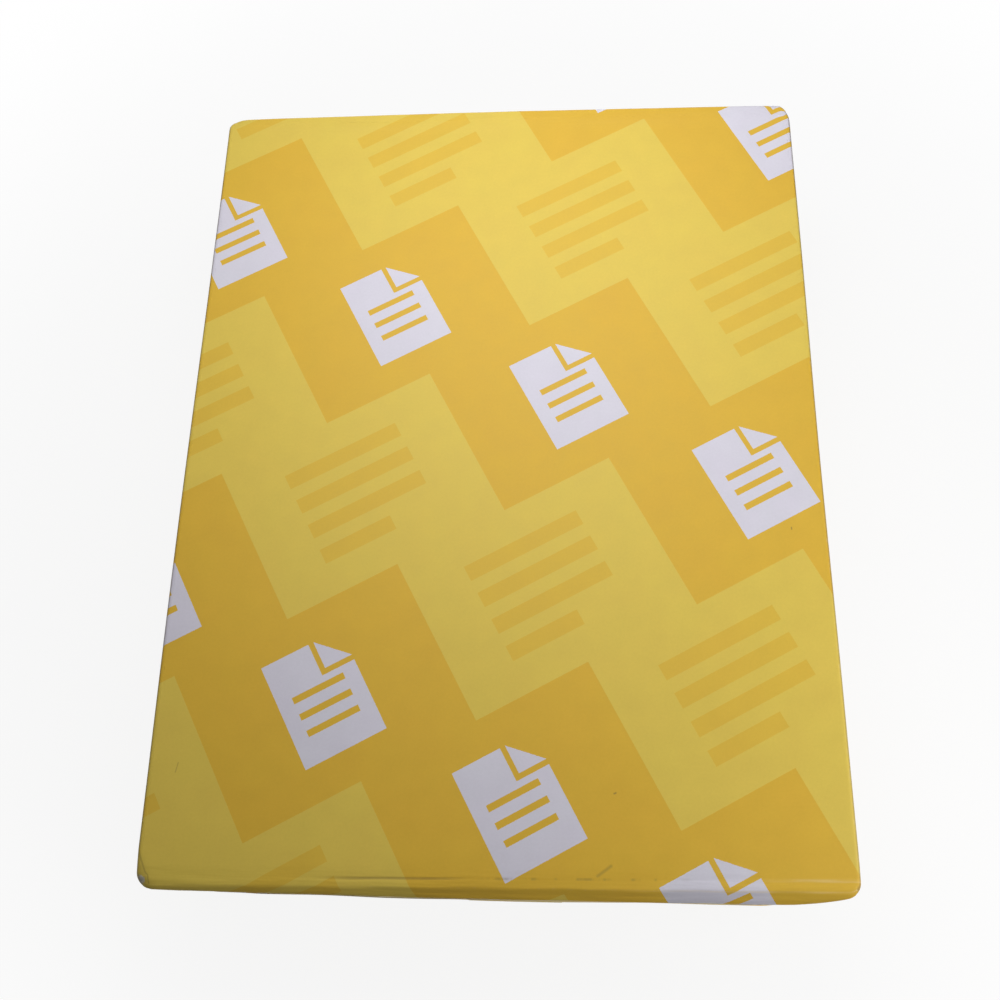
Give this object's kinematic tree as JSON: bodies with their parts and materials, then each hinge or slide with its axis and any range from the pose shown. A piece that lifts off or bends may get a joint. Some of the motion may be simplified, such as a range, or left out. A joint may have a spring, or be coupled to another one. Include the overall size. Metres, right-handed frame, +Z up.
{
  "type": "ream of cardstock",
  "caption": "Sealed ream of letter-size cardstock in a glued paper wrapper, with folded end flaps, a lengthwise lap underneath, one loose bulging end and a plain checked print.",
  "frame": {"origin": "middle of the pack's footprint, on the surface that it lies on", "axes": "+X across the sheets, +Y along the sheets towards the tightly wrapped end, +Z up out of the top face"},
  "size_m": [0.2178, 0.29, 0.0604],
  "materials": {
    "printed_wrapper": "smooth coated wrapping paper with a slight sheen, printed in two tones of golden yellow"
  },
  "bodies": {
    "root": {"wrapped_ream": "printed_wrapper"}
  },
  "joints": []
}
